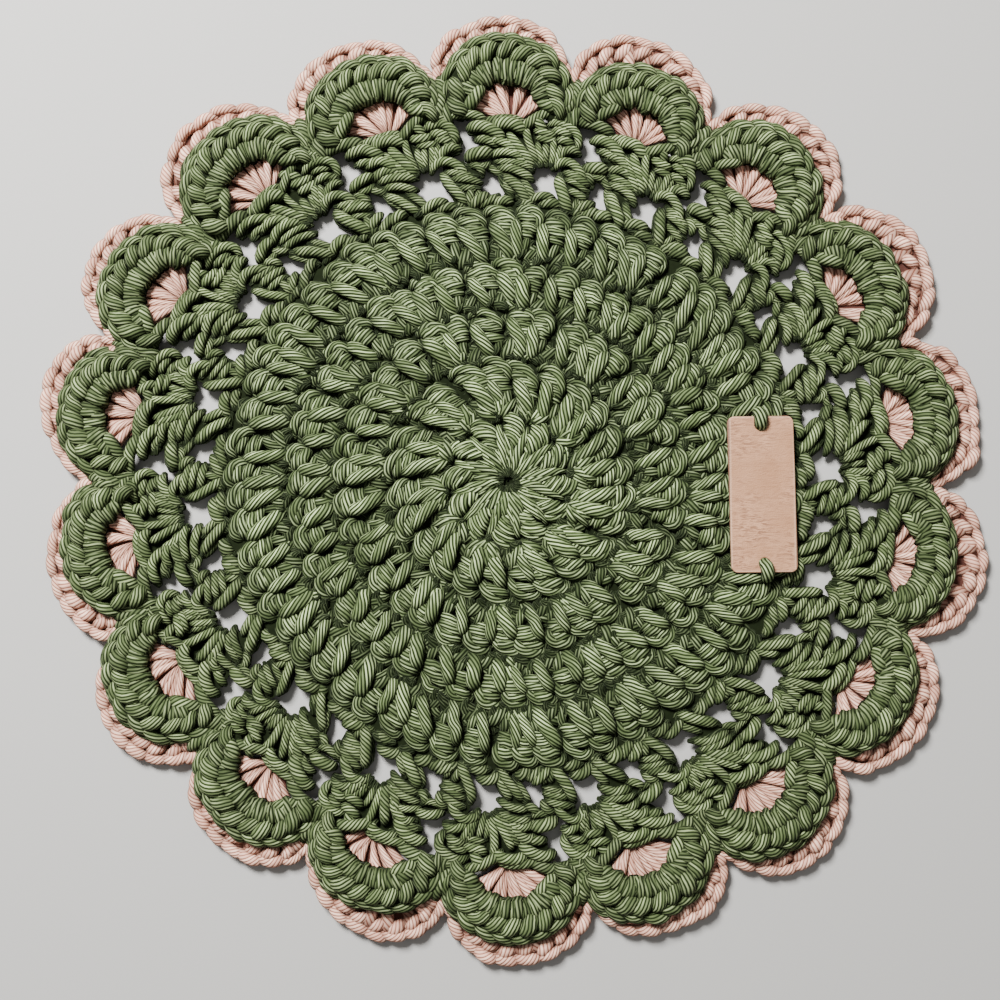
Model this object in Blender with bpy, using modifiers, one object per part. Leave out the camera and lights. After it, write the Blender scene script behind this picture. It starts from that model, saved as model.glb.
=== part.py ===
"""A round crocheted doily, laid flat.

A green cloth of five solid rounds, one openwork round, eighteen shells and eighteen raised arches lies on a
pink ring of eighteen fans. A bare leather label is sewn on near the right-hand edge.

Metres, +Z up. The origin is the middle of the doily's footprint, on the surface that it rests on. The doily is
drawn even first, and laid() then moves every point to where the worked and smoothed-out cloth has it.
"""

import math

import bmesh
import bpy
from mathutils import Matrix, Vector

MM = 0.001

# The pattern
SCALLOPS = 18
STEP = 2 * math.pi / SCALLOPS  # from one scallop to the next
ROUND_EDGES = (20.5, 40, 56.5, 72, 92.3)  # outer radii of the solid rounds, mm
LACE_EDGE = 108.3  # outer radius of the openwork round
SHELL_EDGE = 121.0  # outer radius of the shells
ARCH_REACH = 145.5  # radius at the top of an arch
FAN_REACH = 153.5  # radius at the tip of a fan
RING_CENTRE = (-1.4, -0.6)  # where the first ring of the work lies

# Thicknesses and heights, mm
BODY_TOP = 5.0  # crest of a round
BODY_DIP = 3.3  # groove between two rounds
SHELL_TOP = 5.4
FAN_THICK = 3.2
FAN_RIM_THICK = 3.8
GAP = 0.35  # air between neighbouring pieces

# Openings, mm: where each lies in its scallop (degrees from the scallop's middle, radius) and its size
OPENINGS = (
    dict(name="large", turn=-5.0, radius=99.8, wide=9.3, high=9.8, taper=0.1, sides=12),
    dict(name="small", turn=-15.0, radius=99.0, wide=4.6, high=5.0, taper=0.0, sides=8),
    dict(name="valley", turn=-12.4, radius=113.2, wide=6.6, high=8.2, taper=0.55, sides=10),
)

# Arches, mm: the middle line of a band that springs from the shells
ARCH_SPRING = 122.0  # radius where the legs start to curve
ARCH_FOOT = 118.3  # radius where the legs end, inside the shells
ARCH_HALF_SPAN = 14.2
BAND_WIDE = 13.6
BAND_THICK = 4.9
FOOT_DROP = 1.7  # how far the feet lie below the top of the arch
ARCH_TURNS = 10  # pieces of the curve
BAND_SIDES = 1  # bevel resolution

# Fans, mm
FAN_SPRING = 126.0  # radius where neighbouring fans start to part
FAN_JOIN = 129.5  # radius inside which neighbouring fans don't meet
FAN_SPREAD = 142.0  # radius by which a fan has its own lean
FAN_INNER_POINTS = 10  # points on one fan's inner edge
FAN_RIM_WIDE = 4.6
FAN_POINTS = 8  # points on one fan's edge

# Leather label, mm
LABEL_MIDDLE = (79.5, -5.0)
LABEL_WIDE = 21.0
LABEL_LONG = 49.9
LABEL_THICK = 1.5
LABEL_CORNER = 2.2
LABEL_HOLE = 1.5  # radius
LABEL_HOLE_SIDES = 12
LABEL_HOLE_INSET = 3.2  # from the short end to the hole's middle
LABEL_TURN = math.radians(1.0)

# How the cloth lies, a row for each scallop, counter-clockwise from the right-hand side. The leans are
# degrees from the even pattern; the radii are mm from the origin to the middle of the large opening, to the top
# of the arch and to the tip of the fan.
LIE_COLUMNS = ("lace_lean", "lace_radius", "arch_lean", "arch_reach", "fan_lean", "fan_reach")
LIE = (
    (-2.0, 101.0, -0.5, 144.0, -1.0, 153.0),
    (0.0, 98.5, -0.5, 142.5, 0.0, 154.5),
    (-1.5, 98.5, 1.0, 144.5, 0.0, 153.0),
    (-0.5, 98.0, 0.5, 142.5, 2.0, 153.5),
    (-0.5, 98.0, 1.0, 147.0, 1.5, 154.0),
    (1.5, 99.5, 0.5, 147.0, 1.5, 154.5),
    (2.0, 102.0, 1.5, 150.0, 2.0, 158.5),
    (2.0, 101.5, 2.0, 148.5, 2.0, 156.0),
    (1.0, 101.5, 0.5, 148.0, -1.0, 155.0),
    (2.0, 101.5, 0.0, 145.5, 2.0, 151.5),
    (1.5, 100.0, -0.5, 145.5, 2.0, 151.5),
    (1.0, 98.5, 0.5, 142.5, 1.5, 148.5),
    (1.5, 100.0, -0.5, 142.5, 2.0, 151.5),
    (1.0, 101.0, 0.0, 145.5, 0.5, 153.5),
    (-1.0, 101.0, -1.0, 145.5, 0.5, 151.5),
    (-2.0, 100.5, -1.5, 146.0, -1.5, 154.5),
    (-2.0, 102.0, -1.0, 145.0, -1.0, 153.5),
    (-2.0, 102.0, -1.5, 143.5, -1.5, 155.0),
)

COLOURS = {
    "green cotton": ((0.165, 0.235, 0.105, 1.0), 0.9),
    "pink cotton": ((0.72, 0.46, 0.41, 1.0), 0.9),
    "tan leather": ((0.58, 0.36, 0.26, 1.0), 0.6),
}


# ---- small helpers ----

def clear_scene():
    for obj in list(bpy.data.objects):
        bpy.data.objects.remove(obj, do_unlink=True)


def new_collection(name):
    made = bpy.data.collections.new(name)
    bpy.context.scene.collection.children.link(made)
    return made


def new_material(name):
    colour, roughness = COLOURS[name]
    made = bpy.data.materials.new(name)
    made.use_nodes = True
    shader = made.node_tree.nodes["Principled BSDF"]
    shader.inputs["Base Color"].default_value = colour
    shader.inputs["Roughness"].default_value = roughness
    shader.inputs["Metallic"].default_value = 0.0
    return made


def new_object(name, mesh, collection):
    made = bpy.data.objects.new(name, mesh)
    collection.objects.link(made)
    return made


def hide_helper(obj):
    obj.hide_render = True
    obj.display_type = "WIRE"


def as_mesh(obj, name):
    """The evaluated shape of an object, welded, as a new mesh in world space."""
    bpy.context.view_layer.update()
    graph = bpy.context.evaluated_depsgraph_get()
    mesh = bpy.data.meshes.new_from_object(obj.evaluated_get(graph))
    mesh.transform(obj.matrix_world)
    mesh.name = name
    shape = bmesh.new()
    shape.from_mesh(mesh)
    bmesh.ops.remove_doubles(shape, verts=shape.verts, dist=0.001 * MM)
    bmesh.ops.recalc_face_normals(shape, faces=shape.faces)
    shape.to_mesh(mesh)
    shape.free()
    return mesh


def boolean(obj, other, operation, self_union=False):
    modifier = obj.modifiers.new(other.name, "BOOLEAN")
    modifier.object = other
    modifier.operation = operation
    modifier.solver = "EXACT"
    modifier.use_self = self_union


def poly_curve(name, loops, closed, depth=0.0, resolution=2, extrude=0.0, flat=False):
    """A curve object of straight-segment splines through the points of each loop, in metres."""
    curve = bpy.data.curves.new(name, "CURVE")
    curve.dimensions = "2D" if flat else "3D"
    curve.bevel_depth = depth
    curve.bevel_resolution = resolution
    curve.extrude = extrude
    curve.use_fill_caps = not closed
    if flat:
        curve.fill_mode = "BOTH"
    for points in loops:
        spline = curve.splines.new("POLY")
        spline.points.add(len(points) - 1)
        for target, point in zip(spline.points, points):
            target.co = (point[0], point[1], point[2] if len(point) > 2 else 0.0, 1.0)
        spline.use_cyclic_u = closed
    return curve


# ---- how the cloth lies ----

def smooth(low, high, value):
    t = min(max((value - low) / (high - low), 0.0), 1.0)
    return t * t * (3 - 2 * t)


def around(column, angle):
    """A column of the table at any angle, along a smooth curve through its rows."""
    index = LIE_COLUMNS.index(column)
    place = (angle / STEP - 0.5) % SCALLOPS
    row = int(place)
    t = place - row
    a, b, c, d = (LIE[(row + k) % SCALLOPS][index] for k in (-1, 0, 1, 2))
    return b + 0.5 * t * (c - a + t * (2 * a - 5 * b + 4 * c - d + t * (3 * (b - c) + d - a)))


def laid(point, layer):
    """Moves a point of the even pattern to where the cloth of this layer has it. layer is arch or fan."""
    radius = math.hypot(point.x, point.y) / MM
    angle = math.atan2(point.y, point.x)
    even_lace = OPENINGS[0]["radius"]
    even_reach = ARCH_REACH if layer == "arch" else FAN_REACH
    lace_angle = angle - math.radians(OPENINGS[0]["turn"])
    outward = smooth(even_lace, ARCH_SPRING, radius)
    inward = min(radius / even_lace, 1.0)

    lean = around("lace_lean", lace_angle) * inward * (1 - outward)
    lean += around("arch_lean", angle) * outward
    if layer == "fan":
        own = smooth(ARCH_SPRING, FAN_SPREAD, radius)
        lean += (around("fan_lean", angle) - around("arch_lean", angle)) * own
    stretch = around("lace_radius", lace_angle) / even_lace
    new_radius = radius * (1 + (stretch - 1) * inward)
    if radius > ARCH_SPRING:
        start = ARCH_SPRING * stretch
        share = (radius - ARCH_SPRING) / (even_reach - ARCH_SPRING)
        new_radius = start + share * (around(layer + "_reach", angle) - start)
    turned = angle + math.radians(lean)
    shift = 1 - inward
    return Vector((
        (new_radius * math.cos(turned) + RING_CENTRE[0] * shift) * MM,
        (new_radius * math.sin(turned) + RING_CENTRE[1] * shift) * MM,
        point.z,
    ))


def lay_mesh(mesh, layer):
    for vertex in mesh.vertices:
        vertex.co = laid(vertex.co, layer)


# ---- green cloth ----

def round_profile():
    """Half section of the rounds, from the middle of the top to the middle of the underside."""
    top = [(0.0, BODY_DIP + 0.4)]
    inner = 0.0
    for edge in ROUND_EDGES + (LACE_EDGE,):
        depth = edge - inner
        top.append((inner + 0.40 * depth, BODY_TOP - 0.5))
        top.append((inner + 0.76 * depth, BODY_TOP))
        top.append((edge, BODY_DIP))
        inner = edge
    top.append((LACE_EDGE + 0.45 * (SHELL_EDGE - LACE_EDGE), SHELL_TOP))
    top.append((SHELL_EDGE - 1.2, SHELL_TOP - 0.4))
    top.append((SHELL_EDGE, SHELL_TOP - 2.0))
    return top + [(SHELL_EDGE, 0.8), (SHELL_EDGE - 0.8, 0.0), (0.0, 0.0)]


def make_rounds(collection):
    """A turned disc with a raised rib for each round."""
    points = [Vector((r, 0, z)) * MM for r, z in round_profile()]
    mesh = bpy.data.meshes.new("rounds")
    mesh.from_pydata(points, [(k, k + 1) for k in range(len(points) - 1)], [])
    disc = new_object("rounds", mesh, collection)
    screw = disc.modifiers.new("turn", "SCREW")
    screw.axis = "Z"
    screw.steps = screw.render_steps = 72
    screw.use_merge_vertices = True
    screw.merge_threshold = 0.00005
    screw.use_normal_calculate = True
    return disc


def make_openings(collection):
    """Prisms for the large, small and valley openings of every scallop, in one mesh."""
    shape = bmesh.new()
    for scallop in range(SCALLOPS):
        for hole in OPENINGS:
            angle = (scallop + 0.5) * STEP + math.radians(hole["turn"])
            made = bmesh.ops.create_cone(
                shape, cap_ends=True, segments=hole["sides"], radius1=0.5, radius2=0.5, depth=20 * MM
            )["verts"]
            for vertex in made:
                across, outward = vertex.co.x, vertex.co.y
                vertex.co.x = (hole["radius"] + outward * hole["high"]) * MM
                vertex.co.y = across * hole["wide"] * (1 - 2 * outward * hole["taper"]) * MM
            bmesh.ops.rotate(shape, verts=made, cent=(0, 0, 0), matrix=Matrix.Rotation(angle, 3, "Z"))
    bmesh.ops.recalc_face_normals(shape, faces=shape.faces)
    mesh = bpy.data.meshes.new("openings")
    shape.to_mesh(mesh)
    shape.free()
    return new_object("openings", mesh, collection)


def arch_line():
    """The middle line of an arch in its scallop: (across, outward, up) in mm."""
    rise = ARCH_REACH - BAND_WIDE / 2 - ARCH_SPRING
    top = FAN_RIM_THICK + GAP + BAND_THICK / 2
    points = []
    for k in range(ARCH_TURNS + 1):
        turn = math.pi * k / ARCH_TURNS
        up = top - FOOT_DROP * (1 - math.sin(turn)) ** 3
        points.append((-ARCH_HALF_SPAN * math.cos(turn), ARCH_SPRING + rise * math.sin(turn), up))
    foot = ARCH_HALF_SPAN - 1.4
    low = top - FOOT_DROP
    return [(-foot, ARCH_FOOT, low)] + points + [(foot, ARCH_FOOT, low)]


def make_arches(collection):
    """Eighteen flattened bands, each bent over the gap between two shells."""
    flat = BAND_THICK / BAND_WIDE
    loops = []
    for scallop in range(SCALLOPS):
        turn = Matrix.Rotation((scallop + 0.5) * STEP, 3, "Z")
        loops.append([turn @ Vector((v, -u, z / flat)) * MM for u, v, z in arch_line()])
    curve = poly_curve("arches", loops, False, BAND_WIDE / 2 * MM, BAND_SIDES)
    guide = new_object("arch guide", curve, collection)
    mesh = as_mesh(guide, "arches")
    bpy.data.objects.remove(guide)
    mesh.transform(Matrix.Diagonal((1, 1, flat, 1)))
    return new_object("arches", mesh, collection)


def make_green_cloth(parts, helpers):
    disc = make_rounds(helpers)
    openings = make_openings(helpers)
    arches = make_arches(helpers)
    boolean(disc, openings, "DIFFERENCE")
    boolean(disc, arches, "UNION")
    mesh = as_mesh(disc, "green cloth")
    lay_mesh(mesh, "arch")
    cloth = new_object("green_cloth", mesh, parts)
    cloth.data.materials.clear()
    cloth.data.materials.append(new_material("green cotton"))
    for helper in (disc, openings, arches):
        hide_helper(helper)
    return cloth


# ---- pink fans ----

def fan_edge(inset):
    """The scalloped outline of all fans, inset by some mm, as (x, y) in metres."""
    half_span = FAN_SPRING * math.sin(STEP / 2)
    points = []
    for scallop in range(SCALLOPS):
        middle = (scallop + 0.5) * STEP
        for k in range(FAN_POINTS):
            turn = math.pi * (k + 0.5) / FAN_POINTS
            across = -(half_span - 0.4 * inset) * math.cos(turn)
            outward = FAN_SPRING + (FAN_REACH - FAN_SPRING) * math.sin(turn) ** 0.85 - inset
            angle = middle + math.atan2(across, outward)
            radius = math.hypot(across, outward)
            points.append((radius * math.cos(angle) * MM, radius * math.sin(angle) * MM))
    return points


def fan_inner_edge():
    """The inner outline: each fan springs from its shell, and leaves room for the feet of the arches."""
    points = []
    for k in range(FAN_INNER_POINTS * SCALLOPS):
        angle = STEP * (k + 0.5) / FAN_INNER_POINTS
        aside = abs(2 * (angle / STEP % 1) - 1)  # 0 in the middle of a fan, 1 between two
        radius = SHELL_EDGE + GAP + (FAN_JOIN - SHELL_EDGE - GAP) * smooth(0.15, 0.55, aside)
        points.append((radius * math.cos(angle) * MM, radius * math.sin(angle) * MM))
    return points


def make_pink_fans(parts, helpers):
    """A scalloped plate with a thicker rolled rim, and a hole that the green cloth fills."""
    plate_curve = poly_curve(
        "fan plate", [fan_edge(FAN_RIM_WIDE / 2), fan_inner_edge()], True, extrude=FAN_THICK / 2 * MM, flat=True
    )
    guide = new_object("fan plate guide", plate_curve, helpers)
    guide.location.z = FAN_THICK / 2 * MM
    plate = new_object("fan plate", as_mesh(guide, "fan plate"), helpers)
    bpy.data.objects.remove(guide)

    flat = FAN_RIM_THICK / FAN_RIM_WIDE
    middle = FAN_RIM_THICK / 2 / flat * MM
    rim_line = [(x, y, middle) for x, y in fan_edge(FAN_RIM_WIDE / 2)]
    guide = new_object(
        "rim guide", poly_curve("fan rim", [rim_line], True, FAN_RIM_WIDE / 2 * MM, 1), helpers
    )
    rim_mesh = as_mesh(guide, "fan rim")
    bpy.data.objects.remove(guide)
    rim_mesh.transform(Matrix.Diagonal((1, 1, flat, 1)))
    rim = new_object("fan rim", rim_mesh, helpers)

    boolean(plate, rim, "UNION", self_union=True)
    mesh = as_mesh(plate, "pink fans")
    lay_mesh(mesh, "fan")
    fans = new_object("pink_fans", mesh, parts)
    fans.data.materials.clear()
    fans.data.materials.append(new_material("pink cotton"))
    hide_helper(plate)
    hide_helper(rim)
    return fans


# ---- leather label ----

def label_outline():
    half_wide = LABEL_WIDE / 2 - LABEL_CORNER
    half_long = LABEL_LONG / 2 - LABEL_CORNER
    points = []
    for quarter, (sx, sy) in enumerate(((1, 1), (-1, 1), (-1, -1), (1, -1))):
        for k in range(5):
            turn = math.pi / 2 * (quarter + k / 4)
            points.append((
                (sx * half_wide + LABEL_CORNER * math.cos(turn)) * MM,
                (sy * half_long + LABEL_CORNER * math.sin(turn)) * MM,
            ))
    return points


def make_leather_label(parts, helpers):
    loops = [label_outline()]
    for end in (-1, 1):
        middle = end * (LABEL_LONG / 2 - LABEL_HOLE_INSET)
        loops.append([
            (
                LABEL_HOLE * math.cos(2 * math.pi * k / LABEL_HOLE_SIDES) * MM,
                (middle + LABEL_HOLE * math.sin(2 * math.pi * k / LABEL_HOLE_SIDES)) * MM,
            )
            for k in range(LABEL_HOLE_SIDES)
        ])
    curve = poly_curve("label outline", loops, True, extrude=LABEL_THICK / 2 * MM, flat=True)
    guide = new_object("label guide", curve, helpers)
    guide.rotation_euler.z = LABEL_TURN
    guide.location = (
        LABEL_MIDDLE[0] * MM,
        LABEL_MIDDLE[1] * MM,
        (BODY_TOP + GAP + LABEL_THICK / 2) * MM,
    )
    label = new_object("leather_label", as_mesh(guide, "leather label"), parts)
    bpy.data.objects.remove(guide)
    label.data.materials.clear()
    label.data.materials.append(new_material("tan leather"))
    return label


def centre_footprint(parts):
    """Moves every piece so that the footprint's middle is the origin and the underside is at zero."""
    corners = [vertex.co for obj in parts.objects for vertex in obj.data.vertices]
    low = Vector((min(c[axis] for c in corners) for axis in range(3)))
    high = Vector((max(c[axis] for c in corners) for axis in range(3)))
    middle = (low + high) / 2
    for obj in parts.objects:
        obj.data.transform(Matrix.Translation((-middle.x, -middle.y, -low.z)))


def main():
    clear_scene()
    parts = new_collection("crocheted doily")
    helpers = new_collection("cutters and guides")
    make_green_cloth(parts, helpers)
    make_pink_fans(parts, helpers)
    make_leather_label(parts, helpers)
    centre_footprint(parts)
    for obj in parts.objects:
        obj.data.shade_smooth()
        obj.data.set_sharp_from_angle(angle=math.radians(35))
        print(obj.name, len(obj.data.polygons), "faces")


main()
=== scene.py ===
import math

import bmesh
import bpy
import numpy as np
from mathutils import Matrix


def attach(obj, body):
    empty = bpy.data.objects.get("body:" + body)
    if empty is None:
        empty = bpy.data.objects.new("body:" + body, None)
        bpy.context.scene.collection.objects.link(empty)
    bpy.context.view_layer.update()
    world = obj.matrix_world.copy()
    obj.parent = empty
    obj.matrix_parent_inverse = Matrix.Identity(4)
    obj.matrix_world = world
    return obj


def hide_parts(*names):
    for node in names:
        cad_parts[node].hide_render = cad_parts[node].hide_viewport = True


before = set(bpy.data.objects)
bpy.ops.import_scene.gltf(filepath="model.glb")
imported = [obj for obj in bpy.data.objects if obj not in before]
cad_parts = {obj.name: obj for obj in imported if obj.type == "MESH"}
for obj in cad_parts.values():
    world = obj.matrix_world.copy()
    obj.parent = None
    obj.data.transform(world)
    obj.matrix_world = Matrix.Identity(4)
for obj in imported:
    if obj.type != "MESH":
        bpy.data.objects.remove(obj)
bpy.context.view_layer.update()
print("frame loaded")

mm = 0.001
dice = np.random.default_rng(11)

# How the cloth lies: its even pattern, and a table of what each scallop has of its own
cloth = {
    "scallops": 18,
    "step": 20.0,  # degrees from one scallop to the next
    "ringMiddle": (-1.4, -0.6),  # where the first ring of the work lies, mm
    "footprintShift": (0.04, -0.23),  # mm, puts the footprint's middle on the origin
    "laceMiddle": 99.8,  # radius of the large openings, mm
    "laceTurn": -5.0,  # degrees from a scallop's middle to its large opening
    "archSpring": 122.0,
    "archReach": 145.5,
    "fanReach": 153.5,
    "fanSpread": 142.0,
}

# A row for each scallop: degrees of lean, and mm from the middle, for the lace, the arch and the fan
lieColumns = ("laceLean", "laceRadius", "archLean", "archReach", "fanLean", "fanReach")
lie = np.array((
    (-2.0, 101.0, -0.5, 144.0, -1.0, 153.0),
    (0.0, 98.5, -0.5, 142.5, 0.0, 154.5),
    (-1.5, 98.5, 1.0, 144.5, 0.0, 153.0),
    (-0.5, 98.0, 0.5, 142.5, 2.0, 153.5),
    (-0.5, 98.0, 1.0, 147.0, 1.5, 154.0),
    (1.5, 99.5, 0.5, 147.0, 1.5, 154.5),
    (2.0, 102.0, 1.5, 150.0, 2.0, 158.5),
    (2.0, 101.5, 2.0, 148.5, 2.0, 156.0),
    (1.0, 101.5, 0.5, 148.0, -1.0, 155.0),
    (2.0, 101.5, 0.0, 145.5, 2.0, 151.5),
    (1.5, 100.0, -0.5, 145.5, 2.0, 151.5),
    (1.0, 98.5, 0.5, 142.5, 1.5, 148.5),
    (1.5, 100.0, -0.5, 142.5, 2.0, 151.5),
    (1.0, 101.0, 0.0, 145.5, 0.5, 153.5),
    (-1.0, 101.0, -1.0, 145.5, 0.5, 151.5),
    (-2.0, 100.5, -1.5, 146.0, -1.5, 154.5),
    (-2.0, 102.0, -1.0, 145.0, -1.0, 153.5),
    (-2.0, 102.0, -1.5, 143.5, -1.5, 155.0),
))


def smooth(low, high, value):
    t = np.clip((value - low) / (high - low), 0.0, 1.0)
    return t * t * (3 - 2 * t)


def between(a, b, c, d, t):  # on a smooth curve through four neighbours, t of the way from b to c
    return b + 0.5 * t * (c - a + t * (2 * a - 5 * b + 4 * c - d + t * (3 * (b - c) + d - a)))


def lieAt(column, angle):  # a column of the table at any angle in degrees
    values = lie[:, lieColumns.index(column)]
    place = (angle / cloth["step"] - 0.5) % cloth["scallops"]
    row = np.floor(place).astype(int)
    return between(*(values[(row + k) % cloth["scallops"]] for k in (-1, 0, 1, 2)), place - row)


def layDown(points, layer):  # even pattern to laid-out cloth, mm; layer is arch or fan
    radius = np.hypot(points[..., 0], points[..., 1])
    angle = np.degrees(np.arctan2(points[..., 1], points[..., 0]))
    spring = cloth["archSpring"]
    laceAngle = angle - cloth["laceTurn"]
    outward = smooth(cloth["laceMiddle"], spring, radius)
    inward = np.minimum(radius / cloth["laceMiddle"], 1.0)
    lean = lieAt("laceLean", laceAngle) * inward * (1 - outward) + lieAt("archLean", angle) * outward
    if layer == "fan":
        own = smooth(spring, cloth["fanSpread"], radius)
        lean = lean + (lieAt("fanLean", angle) - lieAt("archLean", angle)) * own
    stretch = lieAt("laceRadius", laceAngle) / cloth["laceMiddle"]
    inside = radius * (1 + (stretch - 1) * inward)
    start = spring * stretch
    share = (radius - spring) / (cloth[layer + "Reach"] - spring)
    outside = start + share * (lieAt(layer + "Reach", angle) - start)
    newRadius = np.where(radius > spring, outside, inside)
    turned = np.radians(angle + lean)
    shift = 1 - inward
    laid = np.empty_like(points)
    laid[..., 0] = newRadius * np.cos(turned) + cloth["ringMiddle"][0] * shift + cloth["footprintShift"][0]
    laid[..., 1] = newRadius * np.sin(turned) + cloth["ringMiddle"][1] * shift + cloth["footprintShift"][1]
    laid[..., 2] = points[..., 2]
    return laid


# Yarn: every strand is a real sweep, and its plies wind round it in the material
yarn = {
    "sides": (8, 10),  # of a thin and of a thick strand
    "thickFrom": 3.4,
    "plyWidth": 1.28,  # mm between two plies in the solid rounds
    "twistLength": 25.0,  # mm along the yarn for one turn there
    "tightTwist": 9.5,  # in the lace and the shells
    "tightPlies": 7,
    "ringGap": 1.2,  # mm between the rings of a strand that shows
    "backSides": 8,
    "backRingGap": 2.8,
    "wander": 0.32,  # mm that a strand strays from the pattern
    "wanderEach": 0.45,  # of that, for each of its points
    "wanderUp": 0.6,  # of that, upward
    "thicknessSpread": 0.08,
    "tuck": 2.4,  # mm at each end of a strand that lie in the shade of the next
    "carry": 0.15,  # of the way a ring lies, to the next ring
    # painted light: the strands of the underside are painted this much dimmer
    "backShine": 0.85,
    # share of the light left in the painted shade on the hidden side, deep in the work, near an end and at
    # the tip
    "sideLight": 0.15,
    "deepLight": 0.3,
    "endLight": 0.25,
    "tipLight": 0.1,
}


# (strands, points, 3) to (strands, count, 3), evenly along a smooth curve, and each strand's length
def throughPoints(points, count):
    first = 2 * points[:, :1] - points[:, 1:2]
    last = 2 * points[:, -1:] - points[:, -2:-1]
    ends = np.concatenate((first, points, last), axis=1)
    t = np.linspace(0, 1, 7)[:-1].reshape(1, 1, -1, 1)
    curve = between(*(ends[:, k:k + points.shape[1] - 1, None, :] for k in range(4)), t)
    curve = np.concatenate((curve.reshape(len(points), -1, 3), points[:, -1:]), axis=1)
    steps = np.linalg.norm(np.diff(curve, axis=1), axis=2)
    length = np.concatenate((np.zeros((len(points), 1)), np.cumsum(steps, axis=1)), axis=1)
    even = np.empty((len(points), count, 3))
    for strand in range(len(points)):
        wanted = np.linspace(0, length[strand, -1], count)
        for axis in range(3):
            even[strand, :, axis] = np.interp(wanted, length[strand], curve[strand, :, axis])
    return even, length[:, -1]


# Yarn swept along the lines: its points and faces, its painted shade (how lit each point is painted), and its
# marks at the corners
def spin(lines, thick, flat=0.85, ends=(0.5, 0.5), taper=0.25, back=False, gap=None, depth=(1.6, 3.4),
         tuck=None, tight=False, shine=1.0, bothSides=False, twist=None):
    sides = yarn["backSides"] if back else yarn["sides"][thick >= yarn["thickFrom"]]
    gap = gap or (yarn["backRingGap"] if back else yarn["ringGap"])
    roughLength = np.linalg.norm(np.diff(lines, axis=1), axis=2).sum(axis=1).mean()
    rings = max(4, int(round(roughLength / gap)) + 1)
    middle, length = throughPoints(lines, rings)
    strands = len(middle)

    along = np.gradient(middle, axis=1)
    along /= np.linalg.norm(along, axis=2, keepdims=True)
    aside = np.empty_like(along)
    before = np.zeros((strands, 3))
    for ring in range(rings):
        ahead = along[:, ring]
        level = np.stack((-ahead[:, 1], ahead[:, 0], np.zeros(strands)), axis=1) + yarn["carry"] * before
        level -= ahead * (level * ahead).sum(axis=1, keepdims=True)
        before = level / np.maximum(np.linalg.norm(level, axis=1, keepdims=True), 1e-6)
        aside[:, ring] = before
    upward = np.cross(along, aside)

    share = np.linspace(0, 1, rings)
    swell = np.minimum(share / taper, 1.0), np.minimum((1 - share) / taper, 1.0)
    swell = [e + (1 - e) * np.sin(0.5 * math.pi * s) for e, s in zip(ends, swell)]
    radius = 0.5 * thick * (1 + yarn["thicknessSpread"] * dice.normal(size=strands))
    radius = radius[:, None] * (swell[0] * swell[1])

    hiddenSide = (0.5 if back else -0.5) * math.pi
    spot = 2 * math.pi * np.arange(sides) / sides + hiddenSide
    reach = radius[:, :, None]
    points = (middle[:, :, None, :]
              + aside[:, :, None, :] * (reach * np.cos(spot))[..., None]
              + upward[:, :, None, :] * (reach * flat * np.sin(spot))[..., None])
    tips = np.stack((middle[:, 0] - along[:, 0] * 0.5 * radius[:, :1],
                     middle[:, -1] + along[:, -1] * 0.5 * radius[:, -1:]), axis=1)
    points = np.concatenate((points.reshape(strands, -1, 3), tips), axis=1).reshape(-1, 3)
    points[:, 2] = np.maximum(points[:, 2], 0.02 * radius.mean())  # it lies flat on the table

    # faces, and for their corners the ring and the side
    size = rings * sides + 2
    ring, side = (grid.ravel() for grid in np.meshgrid(np.arange(rings - 1), np.arange(sides), indexing="ij"))
    quadRing = np.stack((ring, ring, ring + 1, ring + 1), axis=-1)
    quadSide = np.stack((side, side + 1, side + 1, side), axis=-1)
    side, tip = np.arange(sides), np.full(sides, size)
    nextSide, end = (side + 1) % sides, (rings - 1) * sides
    caps = np.concatenate((np.stack((tip - 2, nextSide, side), axis=-1),
                           np.stack((tip - 1, end + side, end + nextSide), axis=-1)))
    capSide = np.concatenate((np.stack((side + 0.5, side + 1, side), axis=-1),
                              np.stack((side + 0.5, side, side + 1), axis=-1)))
    offsets = (np.arange(strands) * size)[:, None, None]
    quads = (quadRing * sides + quadSide % sides + offsets).reshape(-1, 4)
    caps = (caps + offsets).reshape(-1, 3)

    # marks of a corner: mm along the yarn, number of the ply, chance
    distance = share * length[:, None]
    chance, phase = dice.uniform(size=(2, strands))
    plies = yarn["tightPlies"] if tight else max(6, round(math.pi * thick / yarn["plyWidth"]))
    turnLength = yarn["tightTwist"] if tight else yarn["twistLength"]
    plies, turnLength = twist or (plies, turnLength)

    def markCorners(along, sidesRound):
        ply = plies * (sidesRound.ravel() / sides + along / turnLength + phase[:, None])
        return np.stack((along, ply, np.broadcast_to(chance[:, None], along.shape)), axis=-1).reshape(-1, 3)

    quadMarks = markCorners(distance[:, quadRing.ravel()], quadSide)
    capMarks = markCorners(np.repeat(distance[:, [0, -1]], 3 * sides, axis=1), capSide)

    # painted shade, kept in the lit mark: darker on the side turned from above, low in the work and near the
    # ends, darkest at the tips, dimmed further by shine
    facing = np.sin(spot) * (-1 if back else 1)
    facing = abs(facing) if bothSides else facing
    light = shine * (yarn["sideLight"] + (1 - yarn["sideLight"]) * smooth(-0.2, 1.0, facing))
    if not back:
        high = smooth(*depth, middle[:, :, 2])[:, :, None]
        light = light * (yarn["deepLight"] + (1 - yarn["deepLight"]) * high)
    clear = np.clip(np.minimum(distance, length[:, None] - distance) / (tuck or yarn["tuck"]), 0, 1)
    lit = (light * (yarn["endLight"] + (1 - yarn["endLight"]) * clear[:, :, None])).reshape(strands, -1)
    lit = np.concatenate((lit, np.full((strands, 2), yarn["tipLight"])), axis=1).reshape(-1)
    return {"points": points, "quads": quads, "tris": caps, "lit": lit, "quadMarks": quadMarks,
            "triMarks": capMarks}


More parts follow.
